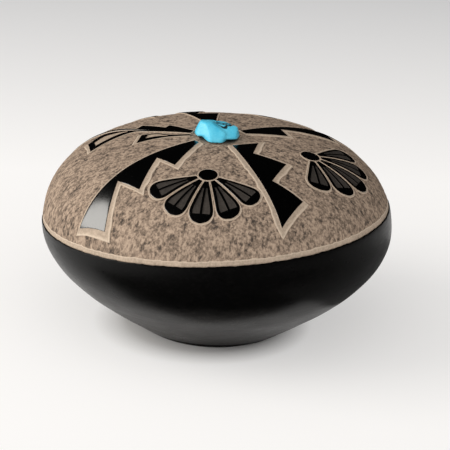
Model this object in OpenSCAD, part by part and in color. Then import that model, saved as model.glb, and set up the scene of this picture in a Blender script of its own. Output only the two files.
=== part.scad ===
// Seed pot: a low coil-built clay vessel in polished black slip. The slip on its dome is cut away
// down to the clay, which leaves stepped rays, feather fans and single feathers standing proud
// around a turquoise nugget that closes the small seed mouth at the crown.
// Millimetres, +Z up, the origin in the middle of the foot, the front of the pot towards -Y.

/* [Vessel] */
// Diameter at the widest level
pot_d = 76; // [64:1:100]
// Height of the polished crown above the foot
pot_h = 42.6; // [38:0.2:56]
// Height of the widest level above the foot
widest_h = 22.5; // [18:0.5:28]
// Diameter of the flat foot
foot_d = 33.2; // [24:0.2:44]
// How far the shoulder keeps upright above the widest level
shoulder_pull = 12.4; // [8:0.2:15]
// How far out the crown keeps nearly level
crown_pull = 27.4; // [18:0.2:32]
// How far the belly keeps upright under the widest level
belly_pull = 9.4; // [5:0.2:13]
// How far the flank runs straight up from the foot
flank_pull = 9.8; // [4:0.1:14]
// Slope of the flank at the foot, from level
flank_angle = 35; // [30:1:60]
// Thickness of the clay wall under the slip
wall = 4; // [2.5:0.1:6]
// Thickness of the clay floor
floor_t = 5; // [3:0.1:8]
// Diameter of the seed mouth at the crown
mouth_d = 4.8; // [4.2:0.1:5.4]

/* [Slip and border line] */
// Thickness of the polished slip, and so the depth of the carving
slip_t = 0.5; // [0.3:0.05:0.9]
// How far above the ground that the pot stands on the slip stops
slip_lift = 0.4; // [0.2:0.05:1]
// Height of the border line on the axis of the pot
border_h = 25.1; // [23:0.1:29]
// Width of the scraped border line
border_w = 1.2; // [0.6:0.1:2.5]
// How far the border line stands above the carved ground
border_proud = 0.25; // [0.1:0.05:0.3]
// Tilt of the hand-cut border
border_tilt = 4.5; // [0:0.5:8]
// Direction in which the border falls, from the front round to the right
border_fall = -122; // [-180:1:180]

/* [Stepped rays] */
// Number of steps along a ray
ray_steps = 3; // [2:1:4]
// Gap between the stone's seat and the inner end of a ray
ray_seat_gap = 3; // [2:0.1:4]
// Plan distance from the outer end of a slender ray to the widest level
ray_rim_gap = 1; // [0.8:0.1:4]
// Plan distance from the outer end of the broad-headed ray to the widest level
broad_rim_gap = 4.1; // [2:0.1:6]
// Distance from a slender ray's inner end to its first step
ray_first_step = 10.4; // [6:0.1:14]
// Width of a ray at the tip of a step
ray_w = 6.9; // [5:0.1:8]
// Width of a slender ray where a step is cut back
ray_stem_w = 1; // [0.8:0.1:2]
// Width of the broad-headed ray where a step is cut back
broad_stem_w = 2.1; // [1.2:0.1:3]
// How far a slender ray's steps slant outwards from their tips
ray_slant = 1; // [0.4:0.1:2]
// How far the broad-headed ray's steps slant outwards from their tips
broad_slant = 4.8; // [2:0.1:6]
// How far the plain edge of a slender ray bows out
ray_bow = 1; // [0.2:0.1:1.6]
// How far the plain edge of the broad-headed ray bows out
broad_bow = 0.3; // [0.1:0.1:1.6]

/* [Feather fans] */
// Number of feathers in a fan
fan_feathers = 5; // [3:2:5]
// Angle between neighbouring feathers of a fan
fan_spread = 31; // [30:1:36]
// Distance from the stone's seat to the middle of a fan's hub
fan_seat_gap = 16.5; // [14:0.1:18]
// Scraped gap between neighbouring feathers of a fan
fan_gap = 0.6; // [0.3:0.1:0.8]
// Plan distance from the feather tips to the widest level
fan_rim_gap = 5; // [4:0.1:9]
// How much further out than the others the back fan's hub lies
fan_back_out = 3.8; // [2:0.1:5]
// Plan distance from the back fan's feather tips to the widest level
fan_back_rim_gap = 3.2; // [2.5:0.1:6]
// Radius of the hub that the feathers spring from
fan_hub_r = 1.9; // [1.2:0.1:2.4]
// Gap between the hub and the feathers
fan_hub_gap = 0.6; // [0.3:0.1:1]

/* [Single feathers] */
// Plan distance from the tip of the long feather at the left to the widest level
long_rim_gap = 9.2; // [6:0.1:14]
// Plan distance from the tip of the long feather at the back to the widest level
back_rim_gap = 4.4; // [3:0.1:8]
// Gap between the stone's seat and the quill of the long feather at the back
back_seat_gap = 18; // [14:0.1:20]
// Length of a short feather
short_len = 11.5; // [8:0.1:14]
// Gap between the stone's seat and the quill of a feather
feather_seat_gap = 3; // [2.4:0.1:4]
// Width of a feather at its tip
feather_w = 4.4; // [3:0.1:5]
// Width of a feather at its quill
quill_w = 0.8; // [0.8:0.1:1.4]
// Width of the two polished edges of a feather
feather_edge = 0.6; // [0.5:0.1:1]
// Length of the solid tip of a feather
feather_tip = 2.2; // [1.5:0.1:5]
// How far the long feather at the left bows
long_bow = 2.7; // [1.6:0.1:3.4]
// How far the other feathers bow
short_bow = 1.2; // [0.2:0.1:1.6]

/* [Stone] */
// Length of the turquoise nugget, left to right
stone_l = 9.7; // [8:0.1:12]
// Width of the nugget, front to back
stone_w = 9; // [8:0.1:11]
// Height of the nugget above the clay crown
stone_h = 4; // [3:0.1:5]
// Radius of the nugget's worn corners
stone_round = 1.3; // [0.8:0.1:1.3]
// Shadow gap under the ends of the nugget
stone_gap = 0.2; // [0.1:0.05:0.5]
// How far the nugget lies to the left of its foot
stone_left = 0.7; // [0:0.1:1]
// How far the nugget lies in front of its foot
stone_front = 1.5; // [0:0.1:1.8]
// Diameter of the nugget's foot in the seat
stone_foot_d = 5.8; // [5.6:0.1:6.4]
// Diameter of the seat cut for the nugget
seat_d = 7.8; // [7:0.1:8.6]
// Depth of the seat below the clay crown
seat_depth = 0.8; // [0.6:0.1:1.5]
// Thickness of the adhesive bed in the seat
bed_t = 0.5; // [0.2:0.05:0.5]
// Clearance round the adhesive bed
bed_clear = 0.1; // [0.05:0.05:0.2]

/* [Hidden] */

$fn = 96;
// Straight pieces that each half of the profile is drawn with
profile_steps = 18;
// Straight pieces along each curved edge of the carving
edge_steps = 10;
hull_fn = 24;
// Bearing of each ray's plain edge from the front round to the right, the side that it steps to, the
// share of the first step's distance that it begins at and the share of the full width that it has
ray_bearings = [-50.5, 24, 123, 200, 250];
ray_sides = [1, 1, -1, -1, -1];
ray_leads = [1, 0, 0.67, 1, 1.05];
ray_shares = [1, 1, 0.8, 0.85, 0.65];
broad_ray = 2;
back_fan = 3;
fan_bearings = [-6, 72, 155];
long_bearings = [-90, 218.5];
short_bearing = -88;
// Share of a fan's feather that its round tip takes
fan_round_share = 0.3;
// Share of a feather's bow that lies inside its quill
bow_lead = 0.16;
// Places of the nugget's corners, as shares of the room inside its length, width and height
stone_corners = [[-1, -0.3, 0.4], [-0.8, 0.5, 0.4], [-0.72, -0.3, 1], [-0.6, 0.5, 0.95],
                 [-0.45, -1, 0.2], [0.3, -1, 0.15], [0.15, -0.7, 0.65], [0.7, -0.1, 0.6],
                 [1, -0.2, 0.3], [0.2, 0.8, 0.65], [0.5, 0.9, 0.2], [-0.3, 1, 0.2]];

pot_r = pot_d / 2;
foot_r = foot_d / 2;
clay_top = pot_h - slip_t;
seat_z = clay_top - seat_depth;
stone_z = seat_z + bed_t;
ray_start = seat_d / 2 + ray_seat_gap;
fan_r = seat_d / 2 + fan_seat_gap;
fan_start = fan_hub_r + fan_hub_gap;
feather_start = seat_d / 2 + feather_seat_gap;
back_start = seat_d / 2 + back_seat_gap;
span = 2 * pot_d;

// Point and direction on a cubic curve with control points c, at t from 0 to 1
function curve(c, t) = pow(1 - t, 3) * c[0] + 3 * pow(1 - t, 2) * t * c[1]
    + 3 * (1 - t) * t * t * c[2] + pow(t, 3) * c[3];
function heading(c, t) = pow(1 - t, 2) * (c[1] - c[0]) + 2 * (1 - t) * t * (c[2] - c[1])
    + t * t * (c[3] - c[2]);
// The same point moved square to the curve, inwards by d
function inward(c, t, d) = let (h = heading(c, t) / norm(heading(c, t)))
    curve(c, t) + d * [-h[1], h[0]];

// Flank and belly from the foot to the widest level, then shoulder and dome up to the crown
lower = [[foot_r, 0], [foot_r + flank_pull * cos(flank_angle), flank_pull * sin(flank_angle)],
         [pot_r, widest_h - belly_pull], [pot_r, widest_h]];
upper = [[pot_r, widest_h], [pot_r, widest_h + shoulder_pull], [crown_pull, pot_h], [0, pot_h]];

// Half section of the pot, with its skin taken off to the depth d
module section(d) {
    polygon(concat(
        [[0, 0], [foot_r - d / sin(flank_angle), 0]],
        [for (i = [0 : profile_steps]) if (d > 0 || i > 0) inward(lower, i / profile_steps, d)],
        [for (i = [1 : profile_steps]) inward(upper, i / profile_steps, d)]));
}

// The tilted plane of the border, as the level of its children
module on_border() {
    translate([0, 0, border_h]) rotate([0, 0, border_fall]) rotate([border_tilt, 0, 0]) children();
}

module below_border(lift) {
    on_border() translate([-span / 2, -span / 2, lift - span]) cube(span);
}

// The scraped line that parts the base from the dome
module border_line() {
    intersection() {
        rotate_extrude() section(slip_t - border_proud);
        on_border() translate([-span / 2, -span / 2, 0]) cube([span, span, border_w]);
    }
}

module chamber() {
    rotate_extrude() intersection() {
        section(slip_t + wall);
        translate([0, floor_t]) square([pot_r, pot_h]);
    }
}

module vessel() {
    color("tan") difference() {
        union() {
            rotate_extrude() section(slip_t);
            border_line();
        }
        chamber();
        translate([0, 0, floor_t]) cylinder(d = mouth_d, h = pot_h);
        translate([0, 0, seat_z]) cylinder(d = seat_d, h = pot_h);
    }
}

module base_slip() {
    color([0.05, 0.05, 0.05]) difference() {
        intersection() {
            rotate_extrude() section(0);
            below_border(0);
        }
        rotate_extrude() section(slip_t);
        translate([-span / 2, -span / 2, slip_lift - span]) cube(span);
    }
}

// What is left of the slip on the dome inside a plan outline, turned to a bearing
module island(bearing) {
    color([0.05, 0.05, 0.05]) difference() {
        intersection() {
            rotate_extrude() difference() {
                section(0);
                section(slip_t);
            }
            rotate([0, 0, bearing]) translate([0, 0, widest_h]) linear_extrude(pot_h) children();
        }
        below_border(border_w);
    }
}

// One edge bows gently out, the other widens from the stem to each step and is cut back there.
// The first step lies lead beyond the inner end, and side 1 steps to the right.
module ray_plan(end, lead, wide, stem, slant, bow, side) {
    pitch = (end - slant - ray_start - lead) / (ray_steps - 1);
    bowed = [for (i = [0 : edge_steps]) let (f = i / edge_steps)
        [-bow * sin(180 * f), -ray_start - f * (end - ray_start)]];
    steps = [for (k = [ray_steps - 1 : -1 : 0]) let (r = ray_start + lead + k * pitch)
        each k < ray_steps - 1 ? [[stem, -r - slant], [wide, -r]] : [[wide, -r]]];
    head = lead > 0 ? [[stem, -ray_start]] : [];
    mirror([side < 0 ? 1 : 0, 0]) polygon(concat(bowed, steps, head));
}

// Half width of a fan's feather at the distance r from the hub's middle: it fills its share of the
// fan but for half a gap, and closes in a round tip at the distance end
function fan_half(r, end) = let (round_from = end - fan_round_share * (end - fan_start))
    (r * sin(fan_spread / 2) - fan_gap / 2)
    * (r < round_from ? 1 : sqrt(max(0, 1 - pow((r - round_from) / (end - round_from), 2))));

module fan_feather_plan(end) {
    edge = [for (i = [0 : edge_steps])
        let (r = fan_start + (end - fan_start) * sin(90 * i / edge_steps)) [fan_half(r, end), -r]];
    polygon(concat(edge, [for (i = [edge_steps - 1 : -1 : 0]) [-edge[i][0], edge[i][1]]]));
}

module fan_plan(hub_at, end) {
    translate([0, -hub_at]) {
        circle(fan_hub_r);
        for (k = [0 : fan_feathers - 1])
            rotate(fan_spread * (k - (fan_feathers - 1) / 2)) fan_feather_plan(end);
    }
}

// A blade between two shares of a feather's length, drawn in by the width of its polished edge
module blade_plan(start, length, bow, from, to, inset) {
    places = [for (i = [0 : edge_steps]) from + (to - from) * i / edge_steps];
    function middle(f) = -bow * sin(180 * (bow_lead + (1 - bow_lead) * f));
    function half(f) = (quill_w + (feather_w - quill_w) * f) / 2 - inset;
    polygon(concat(
        [for (f = places) [middle(f) + half(f), -start - f * length]],
        [for (i = [edge_steps : -1 : 0]) let (f = places[i])
            [middle(f) - half(f), -start - f * length]]));
}

// Two polished edges run from the quill to a solid tip; they part where there is room for a slot
module feather_plan(start, length, bow) {
    slot_from = (2.5 * feather_edge - quill_w) / (feather_w - quill_w);
    difference() {
        blade_plan(start, length, bow, 0, 1, 0);
        blade_plan(start, length, bow, slot_from, 1 - feather_tip / length, feather_edge);
    }
}

module ray(i) {
    broad = i == broad_ray;
    island(ray_bearings[i - 1])
        ray_plan(pot_r - (broad ? broad_rim_gap : ray_rim_gap), ray_leads[i - 1] * ray_first_step,
                 ray_shares[i - 1] * ray_w, broad ? broad_stem_w : ray_stem_w,
                 broad ? broad_slant : ray_slant, broad ? broad_bow : ray_bow, ray_sides[i - 1]);
}

module fan(i) {
    hub_at = i == back_fan ? fan_r + fan_back_out : fan_r;
    rim_gap = i == back_fan ? fan_back_rim_gap : fan_rim_gap;
    island(fan_bearings[i - 1]) fan_plan(hub_at, pot_r - rim_gap - hub_at);
}

module long_feather(i) {
    start = i == 1 ? feather_start : back_start;
    rim_gap = i == 1 ? long_rim_gap : back_rim_gap;
    island(long_bearings[i - 1])
        feather_plan(start, pot_r - rim_gap - start, i == 1 ? long_bow : short_bow);
}

module short_feather() {
    island(short_bearing) feather_plan(feather_start, short_len, short_bow);
}

// Ring of adhesive between the seat and the foot of the nugget
module setting_bed() {
    color([0.2, 0.16, 0.12]) translate([0, 0, seat_z]) difference() {
        cylinder(d = seat_d - 2 * bed_clear, h = bed_t);
        translate([0, 0, -bed_t]) cylinder(d = mouth_d, h = 3 * bed_t);
    }
}

// A worn nugget whose ends overhang the round foot that stands on the adhesive
module turquoise() {
    room = [stone_l / 2, stone_w / 2, stone_h] - stone_round * [1, 1, 1];
    color("turquoise") {
        difference() {
            translate([-stone_left, -stone_front, clay_top]) hull() for (c = stone_corners)
                translate([c[0] * room[0], c[1] * room[1], c[2] * room[2]])
                    sphere(stone_round, $fn = hull_fn);
            translate([-span / 2, -span / 2, clay_top + stone_gap - span]) cube(span);
        }
        translate([0, 0, stone_z]) cylinder(d = stone_foot_d, h = clay_top + 2 * stone_gap - stone_z);
    }
}

vessel();
base_slip();
ray(1);  // ray_1
ray(2);  // ray_2
ray(3);  // ray_3
ray(4);  // ray_4
ray(5);  // ray_5
fan(1);  // fan_1
fan(2);  // fan_2
fan(3);  // fan_3
long_feather(1);  // long_feather_1
long_feather(2);  // long_feather_2
short_feather();
setting_bed();
turquoise();
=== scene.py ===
import math

import bpy
import numpy as np
from mathutils import Matrix, Vector


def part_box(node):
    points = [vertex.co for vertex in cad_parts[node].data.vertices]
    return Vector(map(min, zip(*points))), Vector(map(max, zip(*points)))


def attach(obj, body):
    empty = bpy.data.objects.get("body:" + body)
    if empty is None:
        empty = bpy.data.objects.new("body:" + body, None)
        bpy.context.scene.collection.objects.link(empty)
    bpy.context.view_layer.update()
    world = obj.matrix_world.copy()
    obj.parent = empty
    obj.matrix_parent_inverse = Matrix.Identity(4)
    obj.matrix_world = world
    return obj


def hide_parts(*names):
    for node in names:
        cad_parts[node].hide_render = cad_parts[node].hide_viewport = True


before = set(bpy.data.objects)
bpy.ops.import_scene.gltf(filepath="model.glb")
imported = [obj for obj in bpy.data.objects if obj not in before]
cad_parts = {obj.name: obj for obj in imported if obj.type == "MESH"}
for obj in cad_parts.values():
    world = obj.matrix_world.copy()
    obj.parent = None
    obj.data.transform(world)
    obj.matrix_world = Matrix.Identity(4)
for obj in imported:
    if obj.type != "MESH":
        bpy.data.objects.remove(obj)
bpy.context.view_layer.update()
mm = 0.001
print("frame loaded,", len(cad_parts), "solids")

# Form of the pot in millimetres: the crown is z = height, the front faces -Y
pot = {
    "radius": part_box("base_slip")[1].x / mm,
    "height": 42.6,
    "widestLevel": 22.5,
    "footRadius": 16.6,
    "flankPull": 9.8,
    "flankAngle": 35,
    "bellyPull": 9.4,
    "shoulderPull": 12.4,
    "crownPull": 27.4,
    "slip": 0.5,
    "groundDepth": 0.2,
    "curveSteps": 600,
}


def bezier(corners, share):
    t = share[:, None]
    a, b, c, d = np.array(corners, float)
    return (1 - t) ** 3 * a + 3 * (1 - t) ** 2 * t * b + 3 * (1 - t) * t ** 2 * c + t ** 3 * d


def drawProfile():
    slope = math.radians(pot["flankAngle"])
    flankEnd = [pot["footRadius"] + pot["flankPull"] * math.cos(slope), pot["flankPull"] * math.sin(slope)]
    widest = [pot["radius"], pot["widestLevel"]]
    belly = [[pot["footRadius"], 0], flankEnd, [widest[0], widest[1] - pot["bellyPull"]], widest]
    shoulder = [widest[0], widest[1] + pot["shoulderPull"]]
    dome = [widest, shoulder, [pot["crownPull"], pot["height"]], [0, pot["height"]]]
    share = np.linspace(0, 1, pot["curveSteps"])
    points = np.vstack([bezier(belly, share), bezier(dome, share)[1:]])
    along = np.concatenate([[0], np.cumsum(np.hypot(*np.diff(points, axis=0).T))])
    tangent = np.gradient(points, along, axis=0)
    tangent /= np.linalg.norm(tangent, axis=1)[:, None]
    return {"along": along, "r": points[:, 0], "z": points[:, 1], "nr": tangent[:, 1], "nz": -tangent[:, 0]}


profile = drawProfile()
crownAlong = profile["along"][-1]
domeStart = pot["curveSteps"] - 1


# A point of the skin: distance along the profile from the foot, turn from the front to the right, depth
def onSkin(along, turn, depth):
    r, z, nr, nz = (np.interp(along, profile["along"], profile[k]) for k in ("r", "z", "nr", "nz"))
    reach = r - depth * nr
    return np.stack([reach * np.sin(turn), -reach * np.cos(turn), z - depth * nz], axis=-1)


def alongAtRadius(r):
    return np.interp(-np.asarray(r, float), -profile["r"][domeStart:], profile["along"][domeStart:])


def alongAtHeight(z):
    return np.interp(z, profile["z"], profile["along"])


# Plan points (mm) laid flat, with the distance from the crown measured along the skin
def layFlat(plan):
    r = np.maximum(np.linalg.norm(plan, axis=-1), 1e-9)
    return plan * ((crownAlong - alongAtRadius(r)) / r)[..., None]


def wrapOnDome(flat):
    reach = np.hypot(flat[:, 0], flat[:, 1])
    return onSkin(crownAlong - reach, np.arctan2(flat[:, 0], -flat[:, 1]), -flat[:, 2])


# Smooth line through points (place, value), read at the given places
def easeThrough(points, places):
    x, y = np.array(points, float).T
    slope = np.gradient(y, x)
    i = np.clip(np.searchsorted(x, places) - 1, 0, len(x) - 2)
    step = x[i + 1] - x[i]
    t = (places - x[i]) / step
    start = (1 + 2 * t) * (1 - t) ** 2 * y[i] + t * (1 - t) ** 2 * step * slope[i]
    return start + t ** 2 * (3 - 2 * t) * y[i + 1] + t ** 2 * (t - 1) * step * slope[i + 1]


# Sum of a few waves round the pot, for edges drawn by hand
def handWave(turn, counts, phases):
    waves = [np.sin(count * turn + phase) for count, phase in zip(counts, phases)]
    return np.sum(waves, axis=0) / len(waves)


# Shader sockets with plain arithmetic
class Wire:
    def __init__(self, tree, socket=None):
        self.tree = tree
        self.socket = socket

    def node(self, kind, settings=None, inputs=None, output=0):
        made = self.tree.nodes.new("ShaderNode" + kind)
        for name, value in (settings or {}).items():
            if name == "stops":
                self.setStops(made.color_ramp, value)
            else:
                setattr(made, name, value)
        for name, value in (inputs or {}).items():
            if isinstance(value, Wire):
                self.tree.links.new(value.socket, made.inputs[name])
            else:
                made.inputs[name].default_value = value
        return Wire(self.tree, made.outputs[output])

    def setStops(self, ramp, stops):
        while len(ramp.elements) < len(stops):
            ramp.elements.new(1)
        for element, (place, level) in zip(ramp.elements, stops):
            element.position = place
            element.color = (level, level, level, 1)

    def calc(self, operation, first, second):
        return self.node("Math", {"operation": operation}, {0: first, 1: second})

    def __add__(self, other):
        return self.calc("ADD", self, other)

    def __radd__(self, other):
        return self.calc("ADD", other, self)

    def __sub__(self, other):
        return self.calc("SUBTRACT", self, other)

    def __rsub__(self, other):
        return self.calc("SUBTRACT", other, self)

    def __mul__(self, other):
        return self.calc("MULTIPLY", self, other)

    def __truediv__(self, other):
        return self.calc("DIVIDE", self, other)

    # Sway of a noise about its middle, of the given strength
    def sway(self, strength):
        return (self - 0.5) * strength

    def clip(self):
        return self.node("Clamp", {}, {0: self})

    def steps(self, *stops):
        return self.node("ValToRGB", {"stops": stops}, {0: self})

    def blend(self, factor, first, second):
        return self.node("Mix", {"data_type": "RGBA"}, {0: factor, 6: first, 7: second}, 2)

    # Places on the piece in millimetres, stretched along each axis
    def places(self, stretch=(1, 1, 1)):
        where = self.node("TexCoord", {}, {}, 3)
        size = [1 / mm / s for s in stretch]
        return self.node("Mapping", {}, {"Vector": where, "Scale": size})

    # Noise of about the given grain in millimetres
    def noise(self, grain, detail=2.0, rough=0.5, stretch=(1, 1, 1), twist=0.0):
        inputs = {"Vector": self.places(stretch), "Scale": 1 / grain, "Detail": detail,
                  "Roughness": rough, "Distortion": twist}
        return self.node("TexNoise", {}, inputs)

    def cells(self, grain):
        return self.node("TexVoronoi", {}, {"Vector": self.places(), "Scale": 1 / grain})

    def mark(self, name):
        return self.node("Attribute", {"attribute_name": name}, {}, 2)

    def bump(self, height, distance, strength):
        inputs = {"Height": height, "Distance": distance * mm, "Strength": strength}
        return self.node("Bump", {}, inputs)


def newFinish(name, sockets):
    finish = bpy.data.materials.new(name)
    finish.use_nodes = True
    shader = finish.node_tree.nodes["Principled BSDF"]
    for socket, value in sockets.items():
        shader.inputs[socket].default_value = value
    return finish, Wire(finish.node_tree), shader


def feed(shader, links):
    for socket, wire in links.items():
        wire.tree.links.new(wire.socket, shader.inputs[socket])


def tone(r, g, b):
    return (r, g, b, 1)


# Colours of the finishes, in linear values
tones = {
    "groundPitAndShade": tone(0.062, 0.049, 0.041),
    "ground": tone(0.234, 0.173, 0.128),
    "groundHigh": tone(0.445, 0.335, 0.25),
    "scrape": tone(0.29, 0.225, 0.17),
    "scrapeHigh": tone(0.52, 0.405, 0.305),
    "lip": tone(0.68, 0.555, 0.43),
    "polish": tone(0.0008, 0.0008, 0.0008),
    "burnish": tone(0.0014, 0.0013, 0.0013),
    "burnishWornSheen": tone(0.013, 0.012, 0.0115),
    "mottle": tone(0.07, 0.063, 0.058),
    "dust": tone(0.14, 0.13, 0.12),
    "scratch": tone(0.024, 0.02, 0.017),
    "scratchHigh": tone(0.078, 0.066, 0.056),
    "smoke": tone(0.02, 0.018, 0.016),
    "smokeHigh": tone(0.075, 0.062, 0.052),
    "deepBlue": tone(0.045, 0.49, 0.74),
    "paleBlue": tone(0.16, 0.70, 0.90),
    "matrix": tone(0.012, 0.016, 0.014),
    "adhesive": tone(0.02, 0.018, 0.016),
    "adhesiveDust": tone(0.27, 0.215, 0.165),
}


# Clay ground, chattered all over with the point of a tool
def makeStippledClay():
    finish, w, shader = newFinish("stippledClay", {"Specular IOR Level": 0.15, "Roughness": 0.9})
    strokes = w.noise(0.55, 2, 0.55, (1, 1, 2.0), 0.3)
    flecks = w.noise(0.3, 2, 0.6, (1, 1, 1.8))
    patches = w.noise(7)
    pits = w.mark("pit")
    clumps = w.noise(1.7)
    level = 0.5 + strokes.sway(2.0) + flecks.sway(1.1) + clumps.sway(0.7) + patches.sway(0.3)
    # Darker where the strokes cut deeper: partly the clay's own tone, partly painted shade in the stroke pits
    level = (level - (pits - 0.4) * 0.55).clip()
    shade = w.blend(level.steps((0.0, 0), (0.5, 1)), tones["groundPitAndShade"], tones["ground"])
    shade = w.blend(level.steps((0.5, 0), (1.0, 1)), shade, tones["groundHigh"])
    height = strokes * 0.6 + flecks * 0.4
    feed(shader, {"Base Color": shade, "Normal": w.bump(height, 0.1, 0.5)})
    return finish


# Clay laid bare by a smooth scrape, with a painted highlight on the lip that the tool left
def makeScrapedClay():
    finish, w, shader = newFinish("scrapedClay", {"Specular IOR Level": 0.25, "Roughness": 0.75})
    drag = w.noise(0.4, 3, 0.6, (1, 1, 1.5))
    patches = w.noise(2.5)
    lip = (w.mark("lip") + drag.sway(0.9)).clip()
    level = (0.45 + drag.sway(1.3) + patches.sway(0.9)).clip()
    shade = w.blend(level, tones["scrape"], tones["scrapeHigh"])
    shade = w.blend(lip * 0.7, shade, tones["lip"])
    feed(shader, {"Base Color": shade, "Normal": w.bump(drag, 0.05, 0.5)})
    return finish


# Slip rubbed with a stone to a mirror, on what is left standing of it on the dome
def makePolishedSlip():
    finish, w, shader = newFinish("polishedSlip", {"Base Color": tones["polish"], "IOR": 2.2})
    rubbing = w.noise(2.4, 3, 0.55, (1, 1, 2))
    fine = w.noise(0.4)
    rough = 0.22 + rubbing.sway(0.08) + fine.sway(0.05)
    feed(shader, {"Roughness": rough, "Normal": w.bump(rubbing, 0.02, 0.3)})
    return finish


# The same slip on the base, burnished to a satin with the strokes running round the pot
def makeBurnishedSlip():
    finish, w, shader = newFinish("burnishedSlip", {"Specular IOR Level": 0.2})
    strokes = w.noise(0.55, 4, 0.65, (7, 7, 1))
    clouds = w.noise(7, 3, 0.55, (1.6, 1.6, 1))
    specks = w.cells(2.3)
    grain = w.noise(0.25)
    # Greyer low on the base, partly worn slip and partly a painted sheen for the floor's reflection, and
    # black again at the very edge of the foot as a painted contact shadow
    level = w.node("SeparateXYZ", {}, {0: w.places()}, 2)
    low = ((17 - level) / 5.5 + clouds.sway(0.5) + strokes.sway(0.4)).clip()
    worn = low * ((level - 0.4) / 0.8).clip()
    dust = specks.steps((0.02, 1), (0.045, 0)) * clouds.steps((0.5, 0), (0.7, 1))
    shade = w.blend(worn, tones["burnish"], tones["burnishWornSheen"])
    mottle = w.noise(0.45, 3, 0.65, (1.8, 1.8, 1))
    shade = w.blend(mottle.sway(3).clip() * (0.06 + worn * 0.94), shade, tones["mottle"])
    shade = w.blend(dust * 0.6, shade, tones["dust"])
    rough = 0.34 + strokes.sway(0.22) + clouds.sway(0.2) + mottle.sway(0.2)
    height = strokes * 0.6 + grain * 0.4
    feed(shader, {"Base Color": shade, "Roughness": rough, "Normal": w.bump(height, 0.03, 0.45)})
    return finish


# Slip scratched dull inside the feathers
def makeDullSlip():
    finish, w, shader = newFinish("dullSlip", {"Specular IOR Level": 0.2, "Roughness": 0.8})
    scratch = w.noise(0.35, 3, 0.6, (1, 1, 2.2))
    patches = w.noise(2.5)
    level = (0.4 + scratch.sway(1.1) + patches.sway(0.6)).clip()
    shade = w.blend(level, tones["scratch"], tones["scratchHigh"])
    feed(shader, {"Base Color": shade, "Normal": w.bump(scratch, 0.04, 0.6)})
    return finish


# Clay of the inside and the foot, grey from the smoke of the firing
def makeSmokedClay():
    finish, w, shader = newFinish("smokedClay", {"Specular IOR Level": 0.2, "Roughness": 0.9})
    smoke = w.noise(5, 3, 0.6)
    grit = w.noise(0.4)
    level = (smoke * 0.7 + grit * 0.3).clip()
    shade = w.blend(level, tones["smoke"], tones["smokeHigh"])
    feed(shader, {"Base Color": shade, "Normal": w.bump(grit, 0.06, 0.6)})
    return finish


# Sky-blue turquoise with a few veins of dark matrix
def makeTurquoise():
    finish, w, shader = newFinish("turquoise", {"Specular IOR Level": 0.45})
    clouds = w.noise(2.2, 3, 0.5)
    fine = w.noise(0.45)
    pits = w.mark("matrix")
    level = (0.5 + clouds.sway(1.3) + fine.sway(0.35)).clip()
    shade = w.blend(level, tones["deepBlue"], tones["paleBlue"])
    edge = (pits + fine.sway(0.5) + clouds.sway(0.3)).steps((0.32, 0), (0.5, 1))
    shade = w.blend(edge * 0.96, shade, tones["matrix"])
    rough = 0.3 + fine.sway(0.15) + edge * 0.35
    feed(shader, {"Base Color": shade, "Roughness": rough, "Normal": w.bump(clouds, 0.12, 0.25)})
    return finish


# Dull dark setting adhesive, dusted with clay at its rim; the dark also stands as painted shadow under the
# stone's overhangs
def makeAdhesiveAndShadow():
    finish, w, shader = newFinish("adhesive", {"Specular IOR Level": 0.3})
    dirt = w.noise(0.8, 3, 0.6)
    rim = w.mark("rim")
    dusty = ((dirt - 0.4) * 0.7 + rim * 0.8).clip()
    shade = w.blend(dusty, tones["adhesive"], tones["adhesiveDust"])
    feed(shader, {"Base Color": shade, "Roughness": 0.5 + dirt * 0.4, "Normal": w.bump(dirt, 0.1, 0.6)})
    return finish


stippledClay = makeStippledClay()
scrapedClay = makeScrapedClay()
polishedSlip = makePolishedSlip()
burnishedSlip = makeBurnishedSlip()
dullSlip = makeDullSlip()
smokedClay = makeSmokedClay()
turquoiseFinish = makeTurquoise()
adhesiveFinish = makeAdhesiveAndShadow()
print("finishes made")


def setPlaces(piece, points):
    piece.data.vertices.foreach_set("co", (np.reshape(points, -1) * mm).astype(np.float32))
    piece.data.update()


def getPlaces(piece):
    points = np.zeros(len(piece.data.vertices) * 3, np.float32)
    piece.data.vertices.foreach_get("co", points)
    return points.reshape(-1, 3).astype(float) / mm


# Places of all points, and which of them are selected
def getPicked(piece):
    picked = np.zeros(len(piece.data.vertices), bool)
    piece.data.vertices.foreach_get("select", picked)
    return getPlaces(piece), picked


def setMark(piece, name, values):
    mark = piece.data.attributes.get(name) or piece.data.attributes.new(name, "FLOAT", "POINT")
    mark.data.foreach_set("value", np.reshape(values, -1).astype(np.float32))


def getMark(piece, name):
    values = np.zeros(len(piece.data.vertices), np.float32)
    piece.data.attributes[name].data.foreach_get("value", values)
    return values


# Finishes of a piece, and the number of the finish that each face has
def setFinishes(piece, finishes, looks):
    for finish in finishes:
        piece.data.materials.append(finish)
    piece.data.polygons.foreach_set("material_index", np.reshape(looks, -1).astype(np.int32))


# Flat grid; like any object that is added, it is then active and the only one selected
def newGrid(name, rows, columns):
    bpy.ops.mesh.primitive_grid_add(x_subdivisions=columns - 1, y_subdivisions=rows - 1)
    piece = bpy.context.active_object
    piece.name = name
    return piece


def turnsRound(segments):
    return np.arange(segments) * 2 * math.pi / segments


# Level ring of points round the axis
def levelRing(r, z, turn):
    return np.stack([r * np.sin(turn), -r * np.cos(turn), z + 0 * turn], axis=-1)


# Skin through rings of points, one after the other
def loftRings(name, rings):
    piece = newGrid(name, len(rings), len(rings[0]) + 1)
    setPlaces(piece, [np.vstack([ring, ring[:1]]) for ring in rings])
    return piece


def closeSeams(piece):
    bpy.ops.object.mode_set(mode="EDIT")
    bpy.ops.mesh.select_all(action="SELECT")
    bpy.ops.mesh.remove_doubles(threshold=0.0001 * mm)
    bpy.ops.mesh.normals_make_consistent(inside=False)
    bpy.ops.object.mode_set(mode="OBJECT")


def seat(piece, node):
    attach(piece, "root")
    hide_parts(node)
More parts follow.
